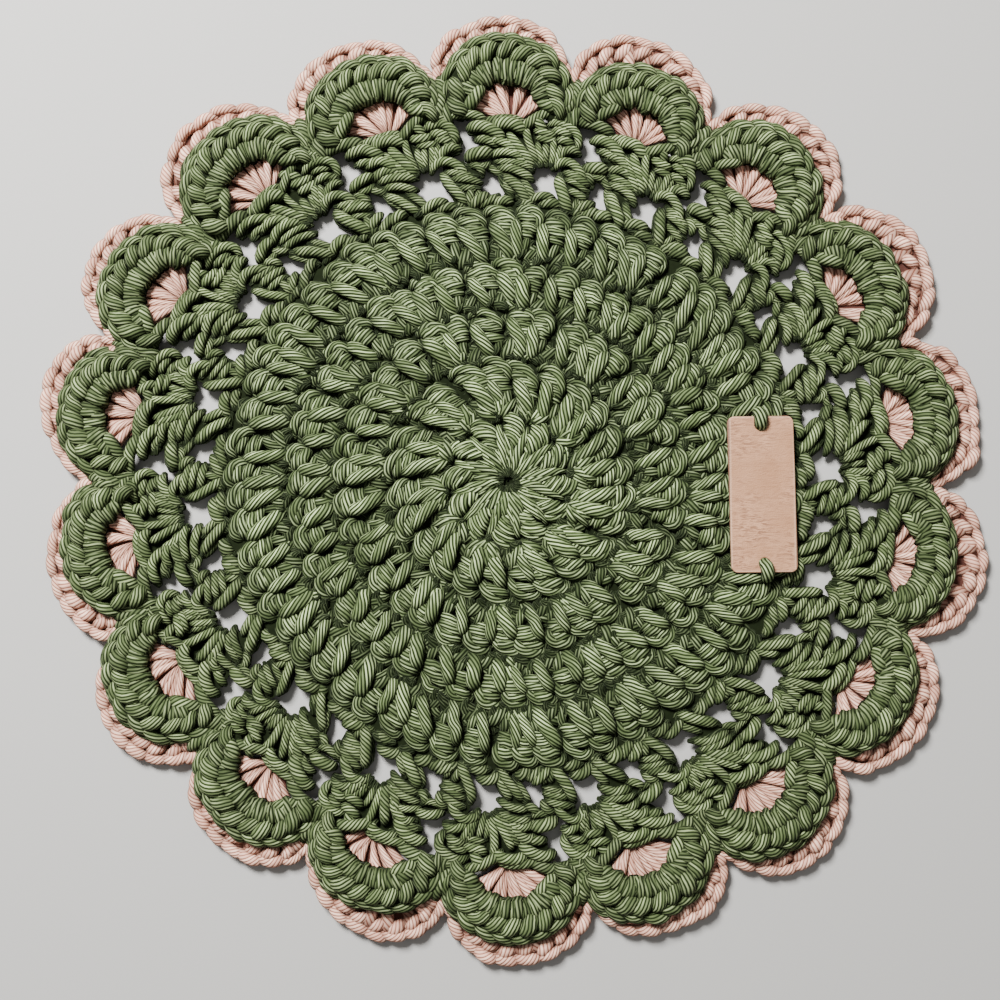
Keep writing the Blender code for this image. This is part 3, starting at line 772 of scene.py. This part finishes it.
arches = {
    "halfSpan": 15.9,
    "spring": 122.0,
    "rise": 16.6,
    "shoulder": 0.76,  # below 1 the shoulders are squarer than an ellipse's
    "foot": 118.3,
    "footTaper": 0.88,  # width of the outer rows at the feet
    "sag": 1.9,  # mm that the feet lie lower than the top
    # how many strands a row has, and (mm along the band, mm outward of its middle line, height) of one
    "wraps": 19,  # inner row, whose strand is worked out in makeArches
    "wrapLook": {"ends": (0.7, 0.6), "depth": (3.8, 8.2), "tuck": 3.2, "shine": 0.85},
    "leaves": 11,  # middle row
    "leaf": ((-3.4, -1.8, 4.2), (-1.9, -0.7, 6.7), (0.0, 1.0, 7.3), (1.8, 2.5, 6.8), (3.4, 3.5, 4.6)),
    "leafLook": {"ends": (0.25, 0.25), "taper": 0.5, "depth": (4.2, 7.4), "tuck": 4.0},
    "rims": 12,  # outer row, two strands each
    "rim": ((-4.2, 5.9, 3.2), (-2.2, 5.7, 5.0), (0.0, 5.1, 5.9), (2.2, 4.2, 6.0), (4.0, 3.2, 4.8)),
    "rimLook": {"ends": (0.3, 0.3), "taper": 0.45, "depth": (3.0, 6.8), "tuck": 3.4},
    "lowRim": ((-1.0, 6.0, 2.4), (1.4, 6.3, 3.9), (4.0, 6.2, 4.2), (6.6, 5.9, 3.9), (8.6, 5.5, 2.6)),
    "lowRimLook": {"ends": (0.3, 0.3), "taper": 0.4, "depth": (2.0, 5.6), "tuck": 3.2, "shine": 0.9},
    "feet": (
        (3.8, ((-9.6, 120.8, 3.0), (-8.0, 121.5, 4.4), (-6.0, 121.2, 4.8), (-4.2, 120.4, 4.4),
               (-3.0, 119.4, 3.2))),
        (3.6, ((1.6, 116.0, 3.0), (3.0, 118.0, 4.2), (4.6, 120.2, 4.6), (6.2, 122.2, 4.2),
               (7.4, 123.8, 3.0))),
        (4.2, ((-6.6, 123.0, 3.6), (-5.4, 125.2, 5.6), (-4.2, 127.4, 6.0), (-3.2, 129.4, 5.0))),
        (4.2, ((5.0, 127.0, 3.6), (5.6, 125.4, 5.2), (7.2, 124.4, 5.7), (9.0, 124.8, 4.4))),
        (3.2, ((7.0, 122.4, 3.0), (8.4, 122.2, 4.6), (10.0, 121.0, 4.6), (11.4, 119.2, 3.2))),
        # where one arch meets the next
        (4.2, ((8.4, 121.0, 2.8), (9.3, 124.6, 4.2), (10.0, 128.4, 4.7), (10.3, 132.0, 4.2),
               (10.1, 134.8, 3.0))),
        (3.6, ((11.7, 121.4, 2.6), (11.0, 125.0, 3.7), (10.2, 128.8, 4.0), (9.4, 132.8, 3.2))),
    ),
}


def withLength(across, outward):  # a path: across, outward, and mm along it
    return across, outward, np.concatenate(((0,), np.cumsum(np.hypot(np.diff(across), np.diff(outward)))))


def makeArchPath(count=200):  # the band's middle line over one scallop
    turn = np.linspace(0, math.pi, count)
    across = -arches["halfSpan"] * np.cos(turn)
    outward = arches["spring"] + arches["rise"] * np.sin(turn) ** arches["shoulder"]
    foot = arches["halfSpan"] - 1.4
    return withLength(np.concatenate(((-foot,), across, (foot,))),
                      np.concatenate(((arches["foot"],), outward, (arches["foot"],))))


def besidePath(path, along, beside, height, probe):  # its direction is taken over a probe's length each way
    across, outward, length = path

    def at(values, shift=0.0):
        return np.interp(along + shift, length, values)

    ahead, rise = (at(values, probe) - at(values, -probe) for values in (across, outward))
    size = np.hypot(ahead, rise)
    return np.stack((at(across) - beside * rise / size, at(outward) + beside * ahead / size, height), axis=-1)


archPath = makeArchPath()
archLength = archPath[2][-1]


def overArch(line):  # (mm along the band, mm outward of its middle line, height) to (across, outward, height)
    along, beside, height = np.array(line).T
    along = np.clip(along, 0.9, archLength - 0.9)
    nearFoot = np.minimum(along, archLength - along) / archLength
    taper = arches["footTaper"] + (1 - arches["footTaper"]) * smooth(0.0, 0.12, nearFoot)
    return besidePath(archPath, along, np.where(beside > 0, beside * taper, beside), height, 0.8)


def allScallops(line):  # (across, outward, height) of one scallop to all eighteen, in the even pattern
    return besideRay(np.radians(scallopMiddles)[:, None], *line.T)


def archSag(along):  # how much lower than the top it lies there
    share = along / archLength
    return arches["sag"] * (1 - np.sin(math.pi * np.clip(share, 0, 1))) ** 2


def archStrand(along, row, thick, look):
    low = archSag(along)
    line = [(along + further, beside, z - low) for further, beside, z in row]
    return layStrand(allScallops(overArch(line)), thick, **look)


def makeArches():
    front, rims = [], []
    for k in range(arches["wraps"]):
        along = archLength * (0.15 + 0.70 * k / (arches["wraps"] - 1))
        inner = -5.6 - 1.9 * math.sin(math.pi * along / archLength) ** 2.5  # narrower towards the feet
        row = ((-0.6, inner + 0.9, 3.2), (-0.4, inner, 5.0), (0.0, inner + 1.6, 6.8), (0.8, inner + 4.4, 7.0),
               (1.6, -0.6, 5.2))
        front.append(archStrand(along, row, 3.0, arches["wrapLook"]))
    for k in range(arches["leaves"]):
        along = archLength * (0.03 + 0.94 * (k + 0.5) / arches["leaves"])
        front.append(archStrand(along, arches["leaf"], 4.9, arches["leafLook"]))
    for k in range(arches["rims"]):
        along = archLength * (0.01 + 0.98 * (k + 0.5) / arches["rims"])
        rims.append(archStrand(along, arches["rim"], 3.6, arches["rimLook"]))
        rims.append(archStrand(along, arches["lowRim"], 2.8, arches["lowRimLook"]))
    for thick, points in arches["feet"]:
        rims.append(layStrand(aroundLine(points, scallopMiddles), thick, depth=(2.4, 6.0), tight=True))
    return front, rims


archFront, archRims = makeArches()
pieces.append(yarnPiece("green_arches", archFront, greenEdgeDimCotton))
pieces.append(yarnPiece("green_arch_rims", archRims, greenEdgeDimCotton))
print("arches made")

fans = {
    "spring": 132.5,
    "base": (1.2, 119.8),  # where the posts of a fan start: mm clockwise of its middle, radius
    "posts": 9,
    "postThick": 4.5,
    "postTwist": (7, 16.0),  # plies, and mm along the yarn for one turn
    "proud": (-0.15, 0.3),  # every other post stands higher, mm
    "postRow": ((0.0, 1.6), (0.12, 2.2), (0.35, 2.5), (0.6, 2.1), (0.85, 1.9), (1.0, 1.8)),  # share, height
    "postLook": {"ends": (0.2, 0.9), "taper": 0.9, "gap": 1.6, "depth": (1.2, 2.9), "tuck": 5.0},
    "bow": 0.48,  # mm that the middle of a post stands to one side
    "edgeInset": 2.3,  # mm from the outline to the loops' line
    "postInset": 4.6,  # and to the ends of the posts
    "loops": 10,  # chain loops along one scallop: (mm along the edge, mm outward of it, height)
    "outerLoop": ((-5.0, -0.3, 1.7), (-2.8, 0.4, 2.5), (0.0, 0.5, 2.7), (2.8, 0.1, 2.4), (5.0, -0.6, 1.6)),
    "innerLoop": ((-3.6, -5.2, 1.5), (-2.0, -4.3, 2.4), (0.0, -3.2, 2.7), (2.0, -2.3, 2.4), (3.8, -1.6, 1.5)),
    "underLoop": ((-4.0, -2.4, 1.2), (-1.4, -2.6, 1.5), (1.4, -2.6, 1.5), (4.0, -2.4, 1.2)),
    "loopLook": {"ends": (0.4, 0.4), "taper": 0.35, "depth": (1.2, 3.0), "tuck": 3.4},
}


def fanEdge(inset, count=240):  # the scalloped outline of one fan
    halfSpan = fans["spring"] * math.sin(math.radians(cloth["step"] / 2))
    turn = np.linspace(0, math.pi, count)
    across = -(halfSpan - 0.4 * inset) * np.cos(turn)
    outward = fans["spring"] + (cloth["fanReach"] - fans["spring"]) * np.sin(turn) ** 0.85 - inset
    return withLength(across, outward)


def makeFans():
    posts, rims = [], []
    edge, inner = fanEdge(fans["edgeInset"]), fanEdge(fans["postInset"])
    edgeLength = edge[2][-1]
    baseAcross, baseOut = fans["base"]
    for k in range(fans["posts"]):
        share = (k + 0.5) / fans["posts"]
        place = int(share * (len(inner[0]) - 1))
        startX, startY = baseAcross + (share - 0.5) * 3.0, baseOut + 0.3 * math.sin(math.pi * share)
        wayX, wayY = inner[0][place] - startX, inner[1][place] - startY
        line = []
        for t, z in fans["postRow"]:
            bow = fans["bow"] * math.sin(math.pi * t) * (1 if k % 2 else -1)
            line.append((startX + wayX * t + bow, startY + wayY * t, z + fans["proud"][k % 2]))
        posts.append(layStrand(allScallops(np.array(line)), fans["postThick"], "fan", bothSides=True,
                               twist=fans["postTwist"], **fans["postLook"]))

    def addLoop(along, row, thick, **look):
        moved, beside, height = (np.array(row) + (along, 0, 0)).T
        line = besidePath(edge, np.clip(moved, 0.6, edgeLength - 0.6), beside, height, 0.6)
        rims.append(layStrand(allScallops(line), thick, "fan", **look))

    for k in range(fans["loops"]):
        along = edgeLength * (k + 0.5) / fans["loops"]
        addLoop(along, fans["outerLoop"], 3.6, tight=True, bothSides=True, **fans["loopLook"])
        addLoop(along, fans["innerLoop"], 4.1, tight=True, bothSides=True, **fans["loopLook"])
        addLoop(along, fans["underLoop"], 3.4, back=True, shine=0.8)
    return posts, rims


fanPosts, fanRims = makeFans()
pieces.append(yarnPiece("pink_posts", fanPosts, pinkCotton, "pink_fans"))
pieces.append(yarnPiece("pink_rim", fanRims, pinkCotton, "pink_fans"))
print("pink fans made")

# Inner plies close what shows between the strands; they are coloured in painted shade, so the gaps read as
# shadow
cores = {
    "heights": (2.0, 2.6),
    "rings": (0.4, 30.0, 62.0, 93.0),  # radii between which the flat rings lie
    "ringPoints": 144,
    "bandWide": 9.8,  # under an arch
    "pinkHeights": (1.6, 2.0),
    "pinkInset": 1.8,
    "pinkStart": (119.4, 9.8),  # radius in the middle of a fan, and how much more between two
    "shade": {"Roughness": 0.95, "Specular IOR Level": 0.1},
    # plates of one scallop: (degrees clockwise of its middle, radius in mm)
    "plates": (
        ((-2.4, 92.5), (3.4, 92.5), (2.5, 97.0), (2.0, 101.0), (2.8, 104.5), (0.0, 106.5), (-3.2, 107.0),
         (-3.6, 103.5), (-1.8, 100.5), (-1.2, 96.0)),
        ((9.4, 92.5), (14.0, 92.5), (14.6, 97.0), (14.4, 103.0), (12.0, 107.0), (8.6, 106.0), (8.4, 103.0),
         (8.8, 98.0)),
        ((-5.6, 114.5), (-3.4, 108.5), (0.0, 106.0), (3.4, 105.4), (7.2, 105.4), (10.0, 107.5), (11.0, 112.0),
         (11.0, 117.5), (8.0, 120.5), (2.0, 120.5), (-2.0, 120.0), (-5.4, 118.5)),
        ((-7.4, 106.4), (-4.0, 107.0), (-3.0, 109.5), (-7.0, 109.5)),
    ),
}


def plate(outline, low, high):  # a closed flat plate over (x, y) points, as points and faces
    outline = np.asarray(outline)
    count = len(outline)
    points = np.concatenate([np.column_stack((outline, np.full(count, z))) for z in (low, high)])
    walls = [(k, (k + 1) % count, count + (k + 1) % count, count + k) for k in range(count)]
    return points, [tuple(range(count))[::-1], tuple(range(count, 2 * count))] + walls


def ringPlate(inner, outer, low, high):  # a closed flat ring between two outlines of as many points
    count = len(inner)
    points = np.concatenate([np.column_stack((line, np.full(count, z)))
                             for line in (inner, outer) for z in (low, high)])
    faces = []
    for k in range(count):
        n = (k + 1) % count
        inLow, inHigh, outLow, outHigh = ((k + j * count, n + j * count) for j in range(4))
        faces.append((inHigh[0], outHigh[0], outHigh[1], inHigh[1]))
        faces.append((inLow[1], outLow[1], outLow[0], inLow[0]))
        faces.append((outLow[0], outLow[1], outHigh[1], outHigh[0]))
        faces.append((inLow[1], inLow[0], inHigh[0], inHigh[1]))
    return points, faces


def circle(radius, count):
    turn = np.arange(count) / count * 2 * math.pi
    return np.column_stack((radius * np.cos(turn), radius * np.sin(turn)))


def corePiece(name, parts, layer, material, node, laid=None):
    points, faces = ([laid[0]], list(laid[1])) if laid else ([], [])
    for partPoints, partFaces in parts:
        start = sum(len(p) for p in points)
        points.append(layDown(partPoints, layer))
        faces += [tuple(start + v for v in face) for face in partFaces]
    mesh = bpy.data.meshes.new(name)
    mesh.from_pydata((np.concatenate(points) * mm).tolist(), [], faces)
    return addPiece(name, mesh, material, node)


def makeGreenCore():
    rings = [circle(radius, cores["ringPoints"]) for radius in cores["rings"]]
    parts = [ringPlate(inner, outer, *cores["heights"]) for inner, outer in zip(rings, rings[1:])]
    for outline in cores["plates"]:
        turn, radius = np.array(outline).T
        for middle in scallopMiddles:
            angle = np.radians(middle - turn)
            flat = np.column_stack((radius * np.cos(angle), radius * np.sin(angle)))
            parts.append(plate(flat, *cores["heights"]))
    line = [(along, -0.2, 5.3 - archSag(along)) for along in np.linspace(2.0, archLength - 2.0, 14)]
    band = spin(layDown(allScallops(overArch(line)), "arch"), cores["bandWide"], flat=0.30, ends=(0.6, 0.6),
                taper=0.12, back=True, gap=3.2)
    faces = [tuple(face) for kind in ("quads", "tris") for face in band[kind]]
    return corePiece("green_core", parts, "arch", greenShade, "green_cloth", (band["points"], faces))


def makePinkCore():
    outer, inner = [], []
    across, outward, _ = fanEdge(cores["pinkInset"], 25)
    least, more = cores["pinkStart"]
    for middle in np.radians(scallopMiddles):
        for x, y in list(zip(across, outward))[::-1][:-1]:
            turn = middle - math.atan2(x, y)
            reach = math.hypot(x, y)
            aside = abs(math.degrees(turn - middle)) / (cloth["step"] / 2)
            start = least + more * smooth(0.1, 0.7, aside)
            outer.append((reach * math.cos(turn), reach * math.sin(turn)))
            inner.append((start * math.cos(turn), start * math.sin(turn)))
    parts = [ringPlate(np.array(inner), np.array(outer), *cores["pinkHeights"])]
    return corePiece("pink_core", parts, "fan", pinkShade, "pink_fans")


def shadeMaterial(name, colour):  # yarn deep in the work, coloured in painted shade, with the mottle of crossing strands
    material, tree, shader = newMaterial(name, cores["shade"])
    mottle = noiseNode(tree, objectPlace(tree), 420.0, 3.0)
    dark = tuple(0.35 * c for c in colour[:3]) + (1,)
    tree.links.new(mixColour(tree, mottle, dark, colour), shader.inputs["Base Color"])
    addBump(tree, shader, mottle, 0.6, 0.4)
    return material


# the inner plies' colours are painted shade: near-black green and dark red
greenShade = shadeMaterial("green yarn in painted shade", (0.009, 0.014, 0.004, 1))
pinkShade = shadeMaterial("pink yarn in painted shade", (0.11, 0.042, 0.031, 1))
greenCore = makeGreenCore()
pinkCore = makePinkCore()
print("inner plies made")


def roundedOutline(wide, long, corner, inset):  # anticlockwise, inset from the edge
    points = []
    for quarter, (sideX, sideY) in enumerate(((1, 1), (-1, 1), (-1, -1), (1, -1))):
        centreX, centreY = sideX * (wide / 2 - corner), sideY * (long / 2 - corner)
        for step in range(9):
            turn = math.pi / 2 * (quarter + step / 8)
            points.append((centreX + (corner - inset) * math.cos(turn),
                           centreY + (corner - inset) * math.sin(turn)))
    return points


def onDoily(x, y, scale=1.0):  # from the label's own frame, in mm unless scaled
    sin, cos = math.sin(label["turn"]), math.cos(label["turn"])
    return x * cos - y * sin + labelMiddle[0] * scale, x * sin + y * cos + labelMiddle[1] * scale


def makeLabel():  # bevelled leather plate with a sewing hole near each short end
    build = bmesh.new()
    thick, edge = label["thick"], label["edgeRound"]
    bevel = edge * 0.3
    # rings of the wall from the lower face to the upper one: (inset from the cut edge, height)
    wall = ((edge, 0.0), (bevel, bevel), (0.0, edge),
            (0.0, thick - edge), (bevel, thick - bevel), (edge, thick))

    def addWall(ringAt, inward):
        rings = [[build.verts.new((x, y, z)) for x, y in ringAt(inset)] for inset, z in wall]
        for low, high in zip(rings, rings[1:]):
            for k in range(len(low)):
                n = (k + 1) % len(low)
                face = (low[k], low[n], high[n], high[k])
                build.faces.new(face[::-1] if inward else face)
        return rings[0], rings[-1]

    def holeRing(centreY, inset, count=24):
        turns = [2 * math.pi * k / count for k in range(count)]
        radius = label["hole"] + inset
        return [(radius * math.cos(turn), centreY + radius * math.sin(turn)) for turn in turns]

    shape = label["wide"], label["long"], label["corner"]
    outlines = [addWall(lambda inset: roundedOutline(*shape, inset), False)]
    for end in (1, -1):
        centreY = end * (label["long"] / 2 - label["holeInset"])
        outlines.append(addWall(lambda inset: holeRing(centreY, inset), True))
    for rings in zip(*outlines):  # the lower face, then the upper
        edges = [build.edges.get(pair) for ring in rings for pair in zip(ring, ring[1:] + ring[:1])]
        bmesh.ops.triangle_fill(build, edges=edges, use_beauty=True)
    bmesh.ops.recalc_face_normals(build, faces=build.faces)
    for vert in build.verts:
        vert.co = vert.co * mm
    mesh = bpy.data.meshes.new("leather_plate")
    build.to_mesh(mesh)
    build.free()
    for vert in mesh.vertices:
        x, y, z = vert.co
        vert.co = (*onDoily(x, y, mm), z + label["under"] * mm)
    return addPiece("leather_plate", mesh, leather, "leather_label")


def makeLabelStitches():  # green yarn from each hole over the short edge
    hole = -label["holeInset"]
    lines = []
    for end, aside in ((1, -0.3), (-1, 0.7)):
        path = ((0.0, hole, 3.9), (0.0, hole + 0.1, 6.4), (aside * 0.4, -1.9, 8.0), (aside * 0.7, -0.2, 8.3),
                (aside, 1.2, 7.2), (aside, 1.7, 5.2), (aside, 1.6, 3.6))
        lines.append([(*onDoily(x, end * (label["long"] / 2 + y)), z) for x, y, z in path])
    made = spin(np.array(lines), label["stitchThick"], flat=0.8, ends=(0.7, 0.7), depth=(1.0, 4.0), gap=0.9)
    return yarnPiece("label_stitches", [made], greenCotton)


def leatherMaterial():
    material, tree, shader = newMaterial("tan leather", {"Specular IOR Level": 0.35})
    place = objectPlace(tree)
    # wavy growth lines across it, fine pores all over
    stretched = addNode(tree, "ShaderNodeMapping", {"Vector": place, "Scale": (0.22, 1.0, 1.0)}).outputs[0]
    waves = noiseNode(tree, stretched, 1150.0, 3.0, Roughness=0.55, Distortion=1.6)
    pores = addNode(tree, "ShaderNodeTexVoronoi", {"Vector": place, "Scale": 2600.0}, feature="F1")
    broad = noiseNode(tree, place, 90.0, 3.0)
    tone = remap(tree, broad, 0.35, 0.65)
    hide = mixColour(tree, tone, (0.38, 0.19, 0.10, 1), (0.49, 0.26, 0.148, 1))
    # painted shade: the creases are painted darker, partly their own tone and partly the shade that falls in
    # them
    creases = remap(tree, waves, 0.38, 0.54, 0.8, 0.0)
    creased = mathNode(tree, "MULTIPLY", creases, remap(tree, broad, 0.42, 0.58, 0.25, 1.0))
    hide = mixColour(tree, creased, hide, (0.19, 0.085, 0.045, 1))
    # a paler band near the rim and a darker cut edge: how far a point lies from the plate's rim
    split = addNode(tree, "ShaderNodeSeparateXYZ", {0: place}).outputs
    rooms = []
    for axis, size in enumerate((label["wide"], label["long"])):
        off = mathNode(tree, "ABSOLUTE", mathNode(tree, "SUBTRACT", split[axis], labelMiddle[axis] * mm))
        rooms.append(mathNode(tree, "SUBTRACT", size / 2 * mm, off))
    far = mathNode(tree, "MINIMUM", *rooms)
    paleRim, cut = (0.60, 0.38, 0.25, 1), (0.12, 0.05, 0.03, 1)
    for near, beyond, most, colour in ((0.35, 0.9, 0.5, paleRim), (0.08, 0.26, 0.8, cut)):
        hide = mixColour(tree, remap(tree, far, near * mm, beyond * mm, most, 0.0, soft=True), hide, colour)
    tree.links.new(hide, shader.inputs["Base Color"])
    tree.links.new(remap(tree, waves, 0.0, 1.0, 0.45, 0.68), shader.inputs["Roughness"])
    relief = mathNode(tree, "ADD", waves, mathNode(tree, "MULTIPLY", pores.outputs["Distance"], 0.35))
    addBump(tree, shader, relief, 0.7, 0.2)
    return material


leather = leatherMaterial()
leatherPlate = makeLabel()
labelStitches = makeLabelStitches()
print("label made")

studio = {
    "floor": (0.42, 0.41, 0.39, 1),
    "ambient": 0.31,
    "keyPlace": (-0.40, 0.60, 0.75),
    "keySize": 0.30,
    "keyPower": 41.0,
    "cameraTilt": 3.5,  # degrees from plumb
    "cameraPlace": (-4.0, -28.5, 355.8),  # mm
    "lens": 39.6,  # mm, on a 36 mm sensor
}


def makeStudio():
    bpy.ops.mesh.primitive_plane_add(size=3.0, location=(0, 0, -0.0002))
    floor = bpy.context.object
    floor.name = "floor"
    material = newMaterial("pale floor", {"Base Color": studio["floor"], "Roughness": 0.8})[0]
    floor.data.materials.append(material)

    world = bpy.data.worlds.new("soft room")
    world.use_nodes = True
    background = world.node_tree.nodes["Background"].inputs
    background["Color"].default_value = (1, 1, 1, 1)
    background["Strength"].default_value = studio["ambient"]
    bpy.context.scene.world = world

    key = bpy.data.lights.new("key", "AREA")
    key.size = studio["keySize"]
    key.energy = studio["keyPower"]
    lamp = bpy.data.objects.new("key", key)
    lamp.location = studio["keyPlace"]
    lamp.rotation_euler = (-lamp.location).to_track_quat("-Z", "Y").to_euler()
    bpy.context.scene.collection.objects.link(lamp)

    lens = bpy.data.cameras.new("camera")
    lens.lens = studio["lens"]
    lens.sensor_width = 36.0
    lens.clip_start = 0.01
    camera = bpy.data.objects.new("camera", lens)
    camera.location = [c * mm for c in studio["cameraPlace"]]
    camera.rotation_euler = (math.radians(studio["cameraTilt"]), 0, 0)
    bpy.context.scene.collection.objects.link(camera)
    bpy.context.scene.camera = camera


makeStudio()
print("studio made")
print("triangles", triangleCount, sum(triangleCount.values()))
